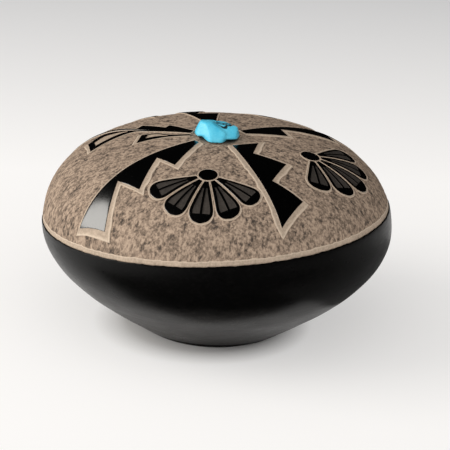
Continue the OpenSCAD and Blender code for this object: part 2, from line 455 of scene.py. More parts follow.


# Scraped border line between the polished base and the dome; its rings have a share of the width, a depth
# and a painted lip highlight
border = {
    "height": 25.1,
    "tilt": 4.5,
    "highTurn": 58,
    "width": 1.2,
    "wander": 0.2,
    "wanderWaves": ((13, 29, 47, 83, 131), (0.3, 1.9, 4.0, 2.2, 5.1)),
    "lowerWander": 0.4,
    "rings": ((-0.1, 0.5, 0), (0.0, 0.30, 0), (0.06, 0.22, 0.1), (0.3, 0.20, 0.3), (0.55, 0.20, 0.3),
              (0.76, 0.195, 0.3), (0.86, 0.16, 0.8), (0.94, 0.15, 1), (1.0, 0.20, 0.7)),
}


def borderAlong(turn):
    rise = pot["radius"] * math.tan(math.radians(border["tilt"]))
    level = border["height"] + rise * np.cos(turn - math.radians(border["highTurn"]))
    return alongAtHeight(level)


# Clay vessel, one closed wall: foot, hidden wall, border line, stippled dome, seat, mouth, chamber
vessel = {
    "segments": 620,
    "footRings": (0, 6, 12, 15, 15.5),
    "wallRings": 6,
    "wallFrom": 0.03,
    "wallGap": 0.5,
    "groundGap": 0.07,
    "domeRings": 122,
    "seatRadius": 3.9,
    "seatLevel": 41.3,
    "seatEase": 0.08,
    "seatTaper": 0.1,
    "mouthRadius": 2.4,
    "mouthEase": 0.05,
    "innerDepth": 4.5,
    "innerFloor": 5.0,
    "chamberRings": 10,
    "floorRings": (18, 9, 0),
    "plainPit": 0.45,
    "strokesPerArea": 1.1,
    "strokeLength": (0.35, 0.85),
    "strokeWidth": (0.17, 0.30),
    "strokeDepth": (0.04, 0.12),
    "strokeReach": 2.2,
    "lean": 0.45,
    "swirl": 1.2,
    "swirlRadius": 22,
    "swirlTurns": 7,
    "deepest": 0.17,
    "seed": 11,
}


# Depths of the tool's short strokes on the ground, which lean more and more in a swirl towards the crown
def chatterGround(share, reach, turn):
    chance = np.random.default_rng(vessel["seed"])
    length = np.ptp(share)
    spacing = length / (len(share) - 1)
    area = 2 * math.pi * reach.mean() * length
    count = int(area * vessel["strokesPerArea"])
    odds = reach / reach.sum()
    rows = chance.choice(len(share), count, p=odds) + chance.uniform(-0.5, 0.5, count)
    turns = chance.uniform(0, 2 * math.pi, count)
    lengths = chance.uniform(*vessel["strokeLength"], count)
    widths = chance.uniform(*vessel["strokeWidth"], count)
    depths = chance.uniform(*vessel["strokeDepth"], count)
    lean = chance.normal(0, vessel["lean"], count)
    field = np.zeros((len(share), len(turn)))
    step = 2 * math.pi / len(turn)
    for row, at, l, wide, deep, tilt in zip(rows, turns, lengths, widths, depths, lean):
        r = np.interp(row, np.arange(len(share)), reach)
        nearCrown = np.clip(1 - r / vessel["swirlRadius"], 0, 1)
        tilt += vessel["swirl"] * nearCrown * math.sin(vessel["swirlTurns"] * at)
        span = vessel["strokeReach"] * l
        low = max(int(row - span / spacing), 0)
        high = min(int(row + span / spacing) + 2, len(share))
        half = int(span / (r * step)) + 1
        columns = int(at / step) + np.arange(-half, half + 1)
        x = (columns * step - at) * r
        y = (np.arange(low, high) - row) * spacing
        across = x[None, :] * math.cos(tilt) + y[:, None] * math.sin(tilt)
        lengthwise = y[:, None] * math.cos(tilt) - x[None, :] * math.sin(tilt)
        stroke = deep * np.exp(-(across / wide) ** 2 - (lengthwise / l) ** 2)
        field[low:high, columns % len(turn)] += stroke
    return np.minimum(field, vessel["deepest"])


def makeVessel():
    segments = vessel["segments"]
    turn = turnsRound(segments)
    edge = borderAlong(turn)
    wander = border["wander"] * handWave(turn, *border["wanderWaves"])
    lowerEdge = edge + wander * border["lowerWander"]
    upperEdge = edge + border["width"] + wander
    finishes = [stippledClay, scrapedClay, smokedClay]
    stippled, scraped, smoked = range(len(finishes))
    rings, looks, pits, lipHighlights = [], [], [], []

    def addRing(points, look, pit=vessel["plainPit"], lip=0.0):
        rings.append(np.broadcast_to(points, (segments, 3)))
        looks.append(look)
        pits.append(np.broadcast_to(pit, segments))
        lipHighlights.append(np.broadcast_to(lip, segments))

    def roundRing(r, z, look):
        addRing(levelRing(r, z, turn), look)

    # Foot and the wall that the base slip hides
    for r in vessel["footRings"]:
        roundRing(r, 0, smoked)
    for share in np.linspace(vessel["wallFrom"], 1, vessel["wallRings"]):
        addRing(onSkin(share * (lowerEdge - vessel["wallGap"]), turn, pot["slip"]), smoked)

    # Border line: from under the slip's edge up to a thin lip, then down to the ground
    for share, depth, lip in border["rings"]:
        addRing(onSkin(lowerEdge + share * (upperEdge - lowerEdge), turn, depth), scraped, lip=lip)

    # Stippled ground up to the seat
    seatAlong = alongAtRadius(vessel["seatRadius"])
    share = np.linspace(0, 1, vessel["domeRings"])
    start = upperEdge + vessel["groundGap"]
    middle = start.mean() + share * (seatAlong - start.mean())
    reach = np.interp(middle, profile["along"], profile["r"])
    field = chatterGround(middle, reach, turn)
    for i, f in enumerate(share):
        calm = min(1, i / 2)
        depth = pot["groundDepth"] + calm * field[i]
        addRing(onSkin(start + f * (seatAlong - start), turn, depth), stippled, field[i] / vessel["deepest"])

    # Seat for the stone, mouth, chamber
    seatTop = rings[-1][0, 2]
    roundRing(vessel["seatRadius"] - vessel["seatEase"], seatTop - vessel["seatEase"], scraped)
    roundRing(vessel["seatRadius"] - vessel["seatTaper"], vessel["seatLevel"], smoked)
    roundRing(vessel["mouthRadius"] + vessel["mouthEase"], vessel["seatLevel"], smoked)
    roundRing(vessel["mouthRadius"], vessel["seatLevel"] - vessel["mouthEase"], smoked)
    inside = onSkin(profile["along"], np.zeros_like(profile["along"]), vessel["innerDepth"])
    kept = (inside[:, 2] > vessel["innerFloor"]) & (-inside[:, 1] > vessel["mouthRadius"])
    wall = inside[kept][::-1]
    for i in np.linspace(0, len(wall) - 1, vessel["chamberRings"]).astype(int):
        roundRing(-wall[i, 1], wall[i, 2], smoked)
    for r in vessel["floorRings"]:
        roundRing(r, vessel["innerFloor"], smoked)

    piece = loftRings("clay_vessel", rings)
    setMark(piece, "pit", [np.append(p, p[0]) for p in pits])
    setMark(piece, "lip", [np.append(p, p[0]) for p in lipHighlights])
    # A face beside a smoked ring is smoked, and one beside a stippled ring is stippled
    bands = [[smoked if smoked in pair else min(pair)] * segments for pair in zip(looks, looks[1:])]
    setFinishes(piece, finishes, bands)
    closeSeams(piece)
    bpy.ops.object.shade_smooth()
    seat(piece, "vessel")
    print("vessel:", len(piece.data.polygons), "faces")


makeVessel()

# Burnished slip of the base, a thin shell from just above the ground up to the border line. The rings of its
# upper edge have a way back from the border and a depth, those of the foot's edge a radius, a tuck at the
# sides and a level.
baseSlip = {
    "segments": 384,
    "outerRings": 64,
    "innerRings": 8,
    "lift": 0.4,
    "overlap": 0.02,
    "ragged": 0.2,
    "raggedWaves": ((17, 41, 67, 103, 151), (1.1, 0.2, 3.3, 5.0, 0.6)),
    "outerEnds": (0.25, 0.3),
    "innerEnds": (0.1, 0.2),
    "innerDepth": 0.47,
    "ripple": 0.05,
    "upperEdge": ((0.18, 0.01), (0.08, 0.04), (0.02, 0.1), (0.0, 0.2), (0.0, 0.44)),
    "footEdge": ((15.7, 0.0, 0.08), (16.6, 0.7, 0.04), (17.15, 1.1, 0.06), (17.33, 1.1, 0.14),
                 (17.37, 0.6, 0.32)),
}


def makeBaseSlip():
    turn = turnsRound(baseSlip["segments"])
    start = alongAtHeight(baseSlip["lift"])
    ragged = baseSlip["ragged"] * handWave(turn, *baseSlip["raggedWaves"])
    end = borderAlong(turn) + baseSlip["overlap"] + ragged
    rings = []
    low, high = baseSlip["outerEnds"]
    for share in np.linspace(0, 1, baseSlip["outerRings"]):
        along = start + low + share * (end - start - low - high)
        # Slight ripples left by the burnishing stone, which fade out towards both ends
        waves = 1 + 0.5 * np.sin(0.55 * along + 2 * np.sin(2 * turn)) * np.sin(5 * turn + 0.4 * along)
        waves = waves + 0.5 * np.sin(9 * turn - 0.7 * along)
        fade = math.sin(math.pi * share) ** 0.5
        rings.append(onSkin(along, turn, baseSlip["ripple"] * np.maximum(waves, 0) * fade))
    for back, depth in baseSlip["upperEdge"]:
        rings.append(onSkin(end - back, turn, depth))
    low, high = baseSlip["innerEnds"]
    for share in np.linspace(1, 0, baseSlip["innerRings"]):
        rings.append(onSkin(start + low + share * (end - start - low - high), turn, baseSlip["innerDepth"]))
    for r, tuck, z in baseSlip["footEdge"]:
        rings.append(levelRing(r - tuck * np.sin(turn) ** 2, z, turn))
    rings.append(rings[0])
    piece = loftRings("base_slip_burnished", rings)
    piece.data.materials.append(burnishedSlip)
    closeSeams(piece)
    bpy.ops.object.shade_smooth()
    seat(piece, "base_slip")
    print("base slip:", len(piece.data.polygons), "faces")


makeBaseSlip()

# Cut edge of an island of slip: reach and depth of each ring of its rolled edge, then share of the scraped
# band's width, depth and painted lip highlight of each ring of that band
cutEdge = {
    "roll": ((0.05, 0.01), (0.09, 0.03), (0.11, 0.06)),
    "band": ((0.08, 0.085, 0.2), (0.2, 0.10, 0.1), (0.5, 0.095, 0.1), (0.7, 0.08, 0.5),
             (0.86, 0.06, 1.0), (0.95, 0.075, 0.8), (1.0, 0.13, 0.3), (1.02, 0.5, 0.0)),
    "wobble": 0.07,
    "bottom": 0.9,
    "mitreLimit": 3.0,
    "mitreFrom": 0.3,
    "crease": 50,
}
slipFinishes = [polishedSlip, scrapedClay, dullSlip]
polishedLook, scrapedLook, dullLook = range(len(slipFinishes))


# Edge loop round a grid: its points in order, the side that each edge lies on, and its number on that side
def loopRound(rows, columns):
    grid = np.arange(rows * columns).reshape(rows, columns)
    order = np.concatenate([grid[0, :-1], grid[:-1, -1], grid[-1, :0:-1], grid[:0:-1, 0]])
    across, up = list(range(columns - 1)), list(range(rows - 1))
    sides = ["start"] * len(across) + ["right"] * len(up) + ["end"] * len(across) + ["left"] * len(up)
    return order, sides, across + up + across[::-1] + up[::-1]


# Outward moves of a loop whose edges each shift by their own width; plain points follow their corners
def mitreMoves(loop, widths, corners):
    count = len(loop)
    kept = [i for i in range(count) if corners[i]]
    spots = loop[kept]
    area = np.sum(spots[:, 0] * np.roll(spots[:, 1], -1) - spots[:, 1] * np.roll(spots[:, 0], -1))
    moves = np.zeros((count, 2))
    for n, i in enumerate(kept):
        before = spots[n] - spots[n - 1]
        after = spots[(n + 1) % len(kept)] - spots[n]
        normals = [np.array([e[1], -e[0]]) / np.linalg.norm(e) * np.sign(area) for e in (before, after)]
        wide = (widths[i - 1], widths[i])
        turnCross = normals[0][0] * normals[1][1] - normals[0][1] * normals[1][0]
        if abs(turnCross) < cutEdge["mitreFrom"] and normals[0] @ normals[1] > 0:
            middle = normals[0] + normals[1]
            move = middle / np.linalg.norm(middle) * sum(wide) / 2
        else:
            move = np.linalg.solve(np.array(normals), np.array(wide))
        limit = cutEdge["mitreLimit"] * max(wide)
        moves[i] = move * min(1, limit / np.linalg.norm(move))
    for n, i in enumerate(kept):
        last = kept[(n + 1) % len(kept)]
        run = [k % count for k in range(i, last + 1 if last > i else last + count + 1)]
        lengths = np.concatenate([[0], np.cumsum(np.linalg.norm(np.diff(loop[run], axis=0), axis=1))])
        for k, f in zip(run[1:-1], lengths[1:-1] / lengths[-1]):
            moves[k] = (1 - f) * moves[i] + f * moves[last]
    return moves


# One island of slip, modelled flat and then laid on the dome
def cutIsland(name, plan, heights, looks, bandWidth, isCorner):
    rows, columns = plan.shape[:2]
    piece = newGrid(name, rows, columns)
    flat = layFlat(plan)
    points = np.concatenate([flat, heights[..., None]], axis=-1).reshape(-1, 3)
    setPlaces(piece, points)
    setFinishes(piece, slipFinishes, looks)
    order, sides, steps = loopRound(rows, columns)
    loop = points[order, :2]
    widths = [bandWidth(side, step) for side, step in zip(sides, steps)]
    corners = [isCorner(i // columns, i % columns) for i in order]
    unit = mitreMoves(loop, [1.0] * len(loop), corners)
    wobble = np.random.default_rng(len(loop)).normal(0, 1, len(loop))
    wobble = (np.roll(wobble, 1) + 2 * wobble + np.roll(wobble, -1)) / 2.5
    band = mitreMoves(loop, widths, corners) * (1 + cutEdge["wobble"] * wobble[:, None])
    spot = np.full(len(points), -1.0)
    spot[order] = np.arange(len(order))
    setMark(piece, "spot", spot)
    setMark(piece, "lip", np.zeros(len(points)))
    roll = cutEdge["roll"]
    for reach, depth in roll:
        growRing(piece, loop + unit * reach, depth, 0.0, polishedLook)
    inner = unit * roll[-1][0]
    for share, depth, lip in cutEdge["band"]:
        growRing(piece, loop + inner + (band - inner) * share, depth, lip, scrapedLook)
    deepen(piece)
    setPlaces(piece, wrapOnDome(getPlaces(piece)))
    closeSeams(piece)
    return piece


# Extrudes the open edge once and sets the new points on the next ring
def growRing(piece, ring, depth, lip, look):
    faces = len(piece.data.polygons)
    bpy.ops.object.mode_set(mode="EDIT")
    bpy.ops.mesh.select_mode(type="EDGE")
    bpy.ops.mesh.select_all(action="DESELECT")
    bpy.ops.mesh.select_non_manifold(extend=False)
    bpy.ops.mesh.extrude_edges_move()
    bpy.ops.object.mode_set(mode="OBJECT")
    places, picked = getPicked(piece)
    spot = getMark(piece, "spot")[picked].astype(int)
    places[picked, :2] = ring[spot]
    places[picked, 2] = -depth
    setPlaces(piece, places)
    lipHighlights = getMark(piece, "lip")
    lipHighlights[picked] = lip
    setMark(piece, "lip", lipHighlights)
    for polygon in piece.data.polygons[faces:]:
        polygon.material_index = look


# Makes the sheet a solid: its copy goes down to the level bottom
def deepen(piece):
    bpy.ops.object.mode_set(mode="EDIT")
    bpy.ops.mesh.select_mode(type="FACE")
    bpy.ops.mesh.select_all(action="SELECT")
    bpy.ops.mesh.extrude_region_move()
    bpy.ops.object.mode_set(mode="OBJECT")
    places, picked = getPicked(piece)
    places[picked, 2] = -cutEdge["bottom"]
    setPlaces(piece, places)


# Sideways and outward places beside a bearing, as a plan
def planAt(bearing, outward, sideways):
    a = math.radians(bearing)
    return np.stack([outward * math.sin(a) + sideways * math.cos(a),
                     -outward * math.cos(a) + sideways * math.sin(a)], axis=-1)


# The island is the active object here, and the only one selected
def finishIsland(piece, node):
    bpy.ops.object.shade_smooth_by_angle(angle=math.radians(cutEdge["crease"]))
    piece.data.attributes.remove(piece.data.attributes["spot"])
    seat(piece, node)


# Heights and looks of a grid whose given rows and columns are sunk to a panel
def sinkPanel(inRows, inColumns, depth, look):
    low = inRows[:, None] & inColumns[None, :]
    beside = low[:-1, :-1] | low[1:, 1:] | low[:-1, 1:] | low[1:, :-1]
    return np.where(low, -depth, 0.0), np.where(beside, look, polishedLook)


# Places from low to high with every given stop among them, about a step apart
def placesBetween(stops, step):
    places = []
    for a, b in zip(stops, stops[1:]):
        count = max(1, math.ceil((b - a) / step))
        places.append(np.linspace(a, b, count + 1)[:-1])
    return np.concatenate(places + [[stops[-1]]])


# Stepped rays, millimetres: bearing of the plain edge and side of the steps, then outward and sideways
# places of the inner end, the tip and notch of each step, and the outer end; widths of the scraped bands
rays = {
    "columns": 13,
    "step": 0.5,
    "overlap": 0.06,
    "startBand": 0.35,
    "each": (
        {"bearing": -50.5, "side": 1, "bow": 0.9, "plain": 0.48, "rise": 1.45, "back": 0.85, "tail": 2.0,
         "edge": ((6.9, 1.2), (17.3, 6.5), (17.9, 1.1), (27.2, 7.3), (28.0, 0.9), (35.7, 6.9), (36.9, 0.1))},
        {"bearing": 24, "side": 1, "bow": 0.3, "plain": 1.3, "rise": 0.55, "back": 1.5, "tail": 1.6,
         "edge": ((7.2, 5.7), (12.0, 2.4), (17.6, 7.6), (23.2, 1.9), (29.3, 6.3), (33.9, -0.2))},
        {"bearing": 123, "side": -1, "bow": 0.8, "plain": 0.4, "rise": 1.0, "back": 0.9, "tail": 1.7,
         "edge": ((5.4, 1.9), (13.9, 5.4), (14.9, 0.9), (26.5, 5.2), (27.4, 0.9), (35.9, 5.5), (37.0, 0.1))},
        {"bearing": 200, "side": -1, "bow": 0.8, "plain": 0.4, "rise": 0.4, "back": 0.7, "tail": 1.5,
         "edge": ((6.9, 1.2), (17.4, 5.6), (18.3, 0.9), (26.9, 5.8), (27.8, 0.9), (35.9, 5.9), (37.0, 0.1))},
        {"bearing": 252.5, "side": -1, "plain": 0.35, "rise": 0.5, "back": 0.5, "tail": 1.2,
         "sway": ((6.2, -0.75), (11.3, -0.95), (15.8, -0.85), (18.4, -0.3), (22.3, 0.95), (25.5, 1.9),
                  (30, 2.3), (37.0, 2.2)),
         "edge": ((6.2, 0.1), (12.4, 2.7), (12.7, 0.95), (18.7, 2.8), (19.1, 0.5), (22.3, 1.75), (25.5, 2.9),
                  (30.0, 3.4), (35.9, 4.5), (37.0, 2.3))},
    ),
}


def makeRay(number, ray):
    stops, widths = np.array(ray["edge"]).T
    # From the inner end outwards the edge rises to a tip and is cut back, or it starts at a tip
    kinds = ["rise", "back"] * 4 if len(stops) % 2 else ["back", "rise"] * 4
    kinds = kinds[:len(stops) - 2] + ["tail"]
    outward = placesBetween(list(stops), rays["step"])
    share = (outward - stops[0]) / np.ptp(stops)
    if "sway" in ray:
        plain = easeThrough(ray["sway"], outward)
    else:
        plain = -ray["bow"] * np.sin(math.pi * share) + widths[-1] * share - rays["overlap"]
    stepped = np.interp(outward, stops, widths)
    across = np.linspace(0, 1, rays["columns"])
    sideways = plain[:, None] + (stepped - plain)[:, None] * across[None, :]
    plan = planAt(ray["bearing"], np.repeat(outward[:, None], len(across), 1), ray["side"] * sideways)
    cornerRows = [int(np.argmin(abs(outward - u))) for u in stops]

    def bandWidth(side, step):
        if side == "left":
            return ray["plain"]
        if side == "start":
            return rays["startBand"]
        if side == "end":
            return ray["tail"] / 2
        return ray[kinds[np.searchsorted(stops, outward[step] + 1e-6) - 1]]

    def isCorner(row, column):
        if column == 0:
            return row < len(outward) - 1
        return column == len(across) - 1 and row in cornerRows

    looks = np.full((len(outward) - 1, len(across) - 1), polishedLook)
    piece = cutIsland("ray_%d_carved" % number, plan, np.zeros(sideways.shape), looks, bandWidth, isCorner)
    finishIsland(piece, "ray_%d" % number)


for number, ray in enumerate(rays["each"], 1):
    makeRay(number, ray)
print("rays cut")

# Feather fans, millimetres: five feathers spring from a round hub, each with two dull panels
fans = {
    "each": ({"bearing": -6, "hubAt": 20.4, "length": 12.6}, {"bearing": 72, "hubAt": 20.4, "length": 12.6},
             {"bearing": 155, "hubAt": 24.2, "length": 10.6}),
    "feathers": 5,
    "spread": 31,
    "hubRadius": 1.9,
    "hubPoints": 13,
    "start": 2.5,
    "gap": 0.6,
    "roundShare": 0.3,
    "edge": 0.55,
    "edgeShare": 0.45,
    "quill": 0.24,
    "quillShare": 0.2,
    "panelFrom": 4.6,
    "panelTip": 1.7,
    "panelDepth": 0.13,
    "wall": 0.06,
    "wallShare": 0.05,
    "step": 0.5,
    "tipStops": (0.8, 0.3),
    "tipGap": 0.012,
    "tipRun": 3,
    "sideBand": 0.3,
    "outerBand": 0.55,
}


# Half width of a fan's feather at a distance from the hub's middle
def fanHalf(r, length):
    roundFrom = length - fans["roundShare"] * (length - fans["start"])
    tip = np.clip((r - roundFrom) / (length - roundFrom), 0, 1)
    return (r * math.sin(math.radians(fans["spread"] / 2)) - fans["gap"] / 2) * np.sqrt(1 - tip ** 2)


def makeFanFeather(name, fan, k):
    lean = math.radians(fans["spread"] * (k - (fans["feathers"] - 1) / 2))
    last = fan["length"] - fans["tipGap"]
    wall = fans["wall"]
    panelTo = fan["length"] - fans["panelTip"]
    pastPanel, shortOfTip = fans["tipStops"]
    stops = [fans["start"], fans["panelFrom"], fans["panelFrom"] + wall, panelTo - wall, panelTo,
             panelTo + pastPanel, last - shortOfTip, last]
    r = placesBetween(stops, fans["step"])
    half = fanHalf(r, fan["length"])
    edge = np.minimum(fans["edge"], fans["edgeShare"] * half)
    quill = np.minimum(fans["quill"], fans["quillShare"] * half)
    inner = half - edge
    gap = np.minimum(wall, fans["wallShare"] * half)
    oneSide = [0 * half, quill, quill + gap]
    oneSide += [quill + gap + (inner - quill - 2 * gap) * f for f in (0.25, 0.5, 0.75, 1.0)]
    oneSide += [inner, inner + edge * 0.5, half]
    sideways = np.stack([-column for column in oneSide[:0:-1]] + oneSide, axis=1)
    columns = sideways.shape[1]
    fromQuill = abs(np.arange(columns) - columns // 2)
    inPanel = (fromQuill >= 2) & (fromQuill <= 6)
    inRows = (r > fans["panelFrom"] + wall / 2) & (r < panelTo - wall / 2)
    heights, looks = sinkPanel(inRows, inPanel, fans["panelDepth"], dullLook)
    outward = fan["hubAt"] + r[:, None] * math.cos(lean) - sideways * math.sin(lean)
    across = r[:, None] * math.sin(lean) + sideways * math.cos(lean)
    outerSides = {0: "left", fans["feathers"] - 1: "right"}

    def bandWidth(side, step):
        if side == "end" or side == outerSides.get(k):
            return fans["outerBand"]
        if side == "start":
            return fans["sideBand"]
        tipShare = np.clip((r[step] - fan["length"] + fans["tipRun"]) / fans["tipRun"], 0, 1)
        return fans["sideBand"] + (fans["outerBand"] - fans["sideBand"]) * tipShare

    def isCorner(row, column):
        return column in (0, columns - 1)

    return cutIsland(name, planAt(fan["bearing"], outward, across), heights, looks, bandWidth, isCorner)


def makeHub(name, fan):
    line = np.linspace(-1, 1, fans["hubPoints"])
    x, y = np.meshgrid(line, line)
    disc = np.stack([x * np.sqrt(1 - y ** 2 / 2), y * np.sqrt(1 - x ** 2 / 2)], axis=-1) * fans["hubRadius"]
    plan = planAt(fan["bearing"], fan["hubAt"] + disc[..., 1], disc[..., 0])
    looks = np.full((len(line) - 1, len(line) - 1), polishedLook)
    return cutIsland(name, plan, np.zeros(x.shape), looks, lambda side, step: fans["sideBand"],
                     lambda row, column: True)


def makeFan(number, fan):
    parts = [makeFanFeather("fan_part_%d" % k, fan, k) for k in range(fans["feathers"])]
    parts.append(makeHub("fan_%d_carved" % number, fan))
    for part in parts:
        part.select_set(True)
    bpy.ops.object.join()
    finishIsland(parts[-1], "fan_%d" % number)


for number, fan in enumerate(fans["each"], 1):
    makeFan(number, fan)
print("fans cut")

# Single feathers, millimetres: two polished edges run from the quill to a solid tip. The back and the
# front edge are given as outward and sideways places beside a bearing.
feathers = {
    "tip": 1.15,
    "slotDepth": 0.1,
    "edgeShare": 0.4,
    "wall": 0.05,
    "wallShare": 0.05,
    "quillBand": 0.15,
    "sideBand": 0.36,
    "tipBand": 0.9,
    "step": 0.5,
    "each": (
        {"node": "long_feather_1", "bearing": -90, "slotFrom": 0.6, "edges": (2.6, 1.5),
         "back": ((6.4, -1.0), (11.2, -2.36), (15.4, -3.75), (18.6, -5.2), (22.0, -7.2), (25.6, -8.4),
                  (28.5, -4.6)),
         "front": ((6.4, -0.5), (11.2, -1.86), (15.4, -3.2), (18.2, -4.3), (20.6, -3.6), (24.1, -1.3),
                   (27.65, 1.43))},
        {"node": "long_feather_2", "bearing": 218.5, "slotFrom": 0.35, "edges": (0.5, 0.7),
         "back": ((23.4, -0.8), (26.0, -1.6), (29.5, -2.2), (33.4, -2.1)),
         "front": ((23.4, 0.0), (26.0, 0.3), (29.5, 1.2), (33.4, 2.3))},
        {"node": "short_feather", "bearing": -90, "slotFrom": 0.5, "edges": (0.6, 1.5),
         "back": ((6.5, 0.5), (9.0, 0.6), (11.2, 0.3), (13.4, -0.95), (16.8, -0.85)),
         "front": ((6.5, 1.1), (9.0, 1.3), (11.3, 1.5), (14.3, 2.3), (17.7, 3.5))},
    ),
}


# Smooth edge through the given places, read at shares of its length
def featherEdge(places, share):
    marks = np.linspace(0, 1, len(places))
    return np.stack([easeThrough(list(zip(marks, column)), share) for column in zip(*places)], axis=-1)


def makeFeather(feather):
    length = feather["front"][-1][0] - feather["front"][0][0]
    slotFrom, slotTo = feather["slotFrom"], 1 - feathers["tip"] / length
    wall = feathers["wall"] / length
    stops = [0, slotFrom, slotFrom + wall, slotTo - wall, slotTo, 1]
    share = placesBetween(stops, feathers["step"] / length)
    back, front = (featherEdge(feather[side], share) for side in ("back", "front"))
    width = np.linalg.norm(front - back, axis=-1)
    backEdge, frontEdge = (np.minimum(edge, feathers["edgeShare"] * width) for edge in feather["edges"])
    gap = np.minimum(feathers["wall"], feathers["wallShare"] * width)
    slot = [backEdge + gap, (backEdge + width - frontEdge) / 2, width - frontEdge - gap]
    across = [0 * width, backEdge / 2, backEdge] + slot + [width - frontEdge, width - frontEdge / 2, width]
    across = np.stack(across, axis=1) / width[:, None]
    spots = back[:, None, :] + across[..., None] * (front - back)[:, None, :]
    plan = planAt(feather["bearing"], spots[..., 0], spots[..., 1])
    columns = across.shape[1]
    inSlot = abs(np.arange(columns) - columns // 2) <= 1
    inRows = (share > slotFrom + wall / 2) & (share < slotTo - wall / 2)
    heights, looks = sinkPanel(inRows, inSlot, feathers["slotDepth"], scrapedLook)

    def bandWidth(side, step):
        ends = {"start": feathers["quillBand"], "end": feathers["tipBand"]}
        return ends.get(side, feathers["sideBand"])

    def isCorner(row, column):
        return column in (0, columns - 1)

    piece = cutIsland(feather["node"] + "_carved", plan, heights, looks, bandWidth, isCorner)
    finishIsland(piece, feather["node"])


for feather in feathers["each"]:
    makeFeather(feather)
print("feathers cut")

# Turquoise nugget, millimetres: three lumps grown together, each worn to flats (a facing and a point on it),
# over a small foot in the adhesive. A cloud of matrix has an edge and a fade on each side.
stone = {
    "middle": (-0.9, -2.2, 43.9),
    "rounds": 6,
    "outside": 8.0,
    "closings": 16,
    "worn": 0.17,
    "grown": 0.14,
    "left": (((-0.89, 0.16, 0.42), (-4.4, -1.2, 45.75)), ((0.0, 0.36, 0.93), (-3.2, -1.0, 45.95)),
             ((0.0, 0.0, 1.0), (-3.0, -2.0, 45.99)), ((-0.8, -0.25, -0.55), (-5.15, -2.6, 43.05)),
             ((0.1, -0.35, -0.93), (-4.2, -3.2, 42.95)), ((-0.66, -0.6, 0.45), (-3.4, -3.9, 44.5)),
             ((0.0, -0.8, 0.6), (-3.0, -4.1, 44.6)), ((-0.2, 0.85, 0.45), (-3.0, 1.7, 44.0)),
             ((1.0, 0.0, 0.35), (-1.4, -2.0, 45.5)), ((-0.97, -0.1, 0.2), (-5.45, -1.8, 43.5)),
             ((0.0, 0.0, -1.0), (0.0, 0.0, 42.42))),
    "front": (((-0.8, -0.3, -0.52), (-3.05, -5.2, 43.0)), ((0.0, -0.92, 0.4), (-1.2, -6.35, 42.75)),
              ((0.05, -0.66, 0.75), (-1.4, -4.9, 44.7)), ((-0.72, -0.62, 0.32), (-3.05, -4.6, 44.0)),
              ((-0.89, 0.16, 0.42), (-4.3, -1.2, 45.75)), ((0.0, 0.36, 0.93), (-3.0, -1.0, 45.95)),
              ((0.0, 0.0, 1.0), (-3.0, -2.0, 45.99)), ((0.5, 0.05, 0.86), (-0.9, -2.8, 45.55)),
              ((0.92, -0.38, -0.1), (0.85, -5.8, 43.0)), ((0.0, -0.25, -0.97), (-1.0, -5.9, 42.45)),
              ((0.0, 0.85, 0.5), (-1.0, 2.2, 44.0)), ((0.0, 0.0, -1.0), (0.0, 0.0, 42.42))),
    "right": (((0.2, -0.55, 0.81), (1.6, -4.0, 44.4)), ((0.0, 0.02, 1.0), (1.0, -1.5, 45.0)),
              ((0.72, 0.6, 0.35), (2.45, 0.2, 44.6)), ((0.97, -0.15, 0.18), (3.98, -2.0, 43.7)),
              ((0.12, -0.62, -0.77), (2.6, -5.1, 43.2)), ((0.0, 0.75, 0.66), (0.5, 2.15, 44.6)),
              ((0.55, -0.8, 0.1), (3.2, -4.9, 43.2)), ((-0.95, -0.1, 0.3), (-0.8, -3.0, 44.6)),
              ((-0.35, -0.6, 0.72), (-0.12, -4.39, 44.5)), ((0.0, -0.1, -1.0), (1.0, -2.0, 42.6)),
              ((0.0, 1.0, 0.0), (0.5, 3.2, 43.0))),
    "vein": ((-1.5, -0.2), (-0.7, -1.5), (0.4, -1.9), (1.0, -2.6), (1.3, -1.5), (2.2, -1.2), (2.5, -0.1)),
    "veinHalf": (0.25, 0.7),
    "veinWaver": 0.08,
    "veinDepth": 0.4,
    "pitAt": (1.0, -2.6),
    "pitReach": 0.8,
    "cloudFront": (-1.9, 0.8),
    "cloudBack": (1.5, 1.2),
    "cloudLeft": (-1.6, 0.8),
    "cloudDark": 0.42,
    "footRadius": 2.6,
    "footLevels": (41.85, 42.6),
    "footSides": 48,
    "crease": 60,
}


# How far points lie outside the nugget: soft most over the flats of a lump, soft least over the lumps
def outsideStone(points):
    lumps = []
    for side in ("left", "front", "right"):
        facings = np.array([facing for facing, point in stone[side]])
        facings /= np.linalg.norm(facings, axis=1)[:, None]
        offsets = np.sum(facings * [point for facing, point in stone[side]], axis=1)
        gaps = (points @ facings.T - offsets) / stone["worn"]
        most = gaps.max(axis=1)
        lumps.append(stone["worn"] * (most + np.log(np.exp(gaps - most[:, None]).sum(axis=1))))
    lumps = np.array(lumps) / stone["grown"]
    least = lumps.min(axis=0)
    return stone["grown"] * (least - np.log(np.exp(least - lumps).sum(axis=0)))


# Distance of points from a bent line
def farFromLine(points, line):
    far = np.full(len(points), np.inf)
    for a, b in zip(np.array(line), np.array(line)[1:]):
        share = np.clip((points - a) @ (b - a) / ((b - a) @ (b - a)), 0, 1)
        far = np.minimum(far, np.linalg.norm(points - a - share[:, None] * (b - a), axis=1))
    return far


